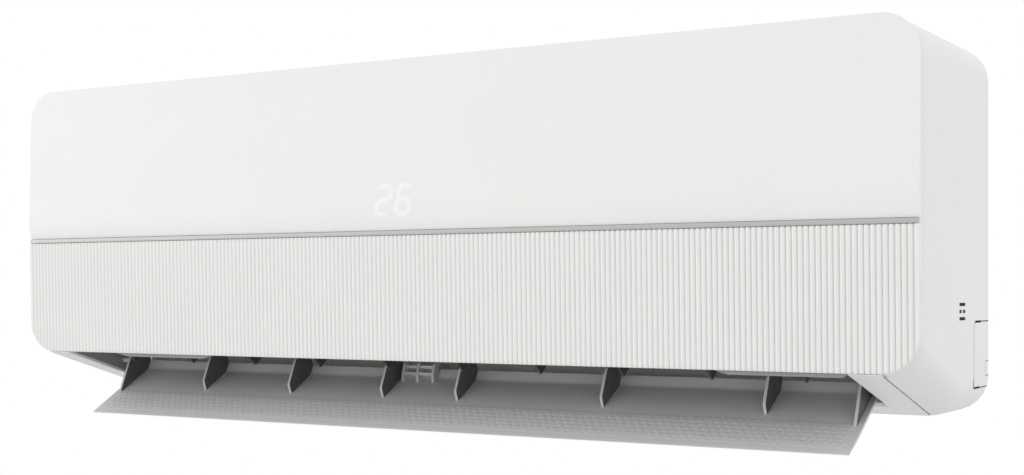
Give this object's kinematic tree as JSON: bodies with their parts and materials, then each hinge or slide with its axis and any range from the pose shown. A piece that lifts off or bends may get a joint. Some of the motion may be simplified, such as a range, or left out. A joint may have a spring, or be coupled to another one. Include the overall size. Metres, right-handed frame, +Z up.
{
  "type": "mini split indoor unit",
  "caption": "Wall-mounted split air conditioner indoor unit with hinged fluted front panel, motorised air flap, swivelling vanes, cross-flow fan, evaporator and slide-out filters.",
  "frame": {"origin": "on the wall, at the middle of the casing's width and height, where the wall bracket's back face lies", "axes": "+X to the right of someone facing the unit, +Y into the wall, +Z up"},
  "size_m": [0.856, 0.1908, 0.309],
  "materials": {
    "white": "satin white, faint gloss",
    "white_inner": "moulded white",
    "casing_white": "fine satin white",
    "chassis_white": "moulded off-white",
    "silver": "silver lacquer",
    "tray_grey": "moulded grey",
    "flap_grey": "moulded grey",
    "dark_plastic": "moulded dark grey",
    "fan_grey": "moulded dark grey",
    "filter_grey": "moulded frame with fine net",
    "fins": "bare fins",
    "copper": "drawn copper tube",
    "brass": "turned brass",
    "steel": "plain",
    "galvanised": "galvanised sheet",
    "board": "circuit board with components",
    "rubber": "moulded rubber"
  },
  "bodies": {
    "housing": {"front_casing": "casing_white", "outlet_frame": "casing_white", "pipe_cover_left": "casing_white", "pipe_cover_right": "casing_white", "top_grille": "casing_white", "room_sensor": "dark_plastic", "casing_screw_left": "steel", "casing_screw_right": "steel", "wall_bracket": "galvanised", "rear_chassis": "chassis_white", "drain_tray": "tray_grey", "coil_rear": "fins", "coil_front_upper": "fins", "coil_front_lower": "fins", "coil_tubing": "copper", "coil_plate_left": "galvanised", "coil_plate_right": "galvanised", "gas_pipe": "copper", "liquid_pipe": "copper", "gas_flare_nut": "brass", "liquid_flare_nut": "brass", "pipe_clamp": "white_inner", "fan_motor": "white_inner", "motor_clamp": "dark_plastic", "fan_bearing": "rubber", "bearing_holder": "white_inner", "control_box": "white_inner", "control_box_cover": "galvanised", "control_board": "board", "terminal_block": "dark_plastic", "display_board": "board", "flap_motor": "dark_plastic"},
    "front_panel": {"upper_panel": "white", "trim_strip": "silver", "fluted_panel": "white", "panel_frame": "white_inner"},
    "flap": {"air_flap": "flap_grey"},
    "fan": {"fan_rotor": "fan_grey", "motor_shaft": "steel"},
    "filter_left": {"air_filter_left": "filter_grey"},
    "filter_right": {"air_filter_right": "filter_grey"},
    "button": {"emergency_button": "white_inner"},
    "link_left": {"vane_link_left": "dark_plastic"},
    "link_right": {"vane_link_right": "dark_plastic"},
    "vane_left_1": {"vane_left_1": "dark_plastic"},
    "vane_left_2": {"vane_left_2": "dark_plastic"},
    "vane_left_3": {"vane_left_3": "dark_plastic"},
    "vane_left_4": {"vane_left_4": "dark_plastic"},
    "vane_left_5": {"vane_left_5": "dark_plastic"},
    "vane_right_1": {"vane_right_1": "dark_plastic"},
    "vane_right_2": {"vane_right_2": "dark_plastic"},
    "vane_right_3": {"vane_right_3": "dark_plastic"},
    "vane_right_4": {"vane_right_4": "dark_plastic"},
    "vane_right_5": {"vane_right_5": "dark_plastic"}
  },
  "joints": [
    {"name": "panel_hinge", "type": "hinge", "parent": "housing", "child": "front_panel", "pos_m": [0, -0.1846, 0.1386], "axis": [-1, 0, 0], "range_deg": [0, 60]},
    {"name": "flap_turn", "type": "hinge", "parent": "housing", "child": "flap", "pos_m": [0, -0.113, -0.1165], "axis": [1, 0, 0], "range_deg": [-48, 12]},
    {"name": "fan_spin", "type": "hinge", "parent": "housing", "child": "fan", "pos_m": [0, -0.084, -0.021], "axis": [1, 0, 0], "continuous": true},
    {"name": "filter_left_slide", "type": "slide", "parent": "housing", "child": "filter_left", "axis": [0, 0, 1], "range_m": [0, 0.19]},
    {"name": "filter_right_slide", "type": "slide", "parent": "housing", "child": "filter_right", "axis": [0, 0, 1], "range_m": [0, 0.19]},
    {"name": "button_press", "type": "slide", "parent": "housing", "child": "button", "axis": [0, 1, 0], "range_m": [0, 0.0012], "stiffness_N_per_m": 300},
    {"name": "vane_left_1_turn", "type": "hinge", "parent": "housing", "child": "vane_left_1", "pos_m": [-0.333, -0.148, -0.08025], "axis": [0, -0.6064, 0.7952], "range_deg": [-35, 35]},
    {"name": "vane_left_2_turn", "type": "hinge", "parent": "housing", "child": "vane_left_2", "pos_m": [-0.259, -0.148, -0.08025], "axis": [0, -0.6064, 0.7952], "range_deg": [-35, 35]},
    {"name": "vane_left_3_turn", "type": "hinge", "parent": "housing", "child": "vane_left_3", "pos_m": [-0.185, -0.148, -0.08025], "axis": [0, -0.6064, 0.7952], "range_deg": [-35, 35]},
    {"name": "vane_left_4_turn", "type": "hinge", "parent": "housing", "child": "vane_left_4", "pos_m": [-0.111, -0.148, -0.08025], "axis": [0, -0.6064, 0.7952], "range_deg": [-35, 35]},
    {"name": "vane_left_5_turn", "type": "hinge", "parent": "housing", "child": "vane_left_5", "pos_m": [-0.037, -0.148, -0.08025], "axis": [0, -0.6064, 0.7952], "range_deg": [-35, 35]},
    {"name": "link_left_turn", "type": "hinge", "parent": "vane_left_1", "child": "link_left", "pos_m": [-0.333, -0.13846, -0.07298], "axis": [0, -0.6064, 0.7952], "range_deg": [-35, 35]},
    {"name": "vane_right_1_turn", "type": "hinge", "parent": "housing", "child": "vane_right_1", "pos_m": [0.037, -0.148, -0.08025], "axis": [0, -0.6064, 0.7952], "range_deg": [-35, 35]},
    {"name": "vane_right_2_turn", "type": "hinge", "parent": "housing", "child": "vane_right_2", "pos_m": [0.111, -0.148, -0.08025], "axis": [0, -0.6064, 0.7952], "range_deg": [-35, 35]},
    {"name": "vane_right_3_turn", "type": "hinge", "parent": "housing", "child": "vane_right_3", "pos_m": [0.185, -0.148, -0.08025], "axis": [0, -0.6064, 0.7952], "range_deg": [-35, 35]},
    {"name": "vane_right_4_turn", "type": "hinge", "parent": "housing", "child": "vane_right_4", "pos_m": [0.259, -0.148, -0.08025], "axis": [0, -0.6064, 0.7952], "range_deg": [-35, 35]},
    {"name": "vane_right_5_turn", "type": "hinge", "parent": "housing", "child": "vane_right_5", "pos_m": [0.333, -0.148, -0.08025], "axis": [0, -0.6064, 0.7952], "range_deg": [-35, 35]},
    {"name": "link_right_turn", "type": "hinge", "parent": "vane_right_1", "child": "link_right", "pos_m": [0.037, -0.13846, -0.07298], "axis": [0, -0.6064, 0.7952], "range_deg": [-35, 35]}
  ],
  "couplings": [
    {"joint": "vane_left_2_turn", "follows": "vane_left_1_turn", "ratio": 1},
    {"joint": "vane_left_3_turn", "follows": "vane_left_1_turn", "ratio": 1},
    {"joint": "vane_left_4_turn", "follows": "vane_left_1_turn", "ratio": 1},
    {"joint": "vane_left_5_turn", "follows": "vane_left_1_turn", "ratio": 1},
    {"joint": "link_left_turn", "follows": "vane_left_1_turn", "ratio": -1},
    {"joint": "vane_right_2_turn", "follows": "vane_right_1_turn", "ratio": 1},
    {"joint": "vane_right_3_turn", "follows": "vane_right_1_turn", "ratio": 1},
    {"joint": "vane_right_4_turn", "follows": "vane_right_1_turn", "ratio": 1},
    {"joint": "vane_right_5_turn", "follows": "vane_right_1_turn", "ratio": 1},
    {"joint": "link_right_turn", "follows": "vane_right_1_turn", "ratio": -1}
  ]
}
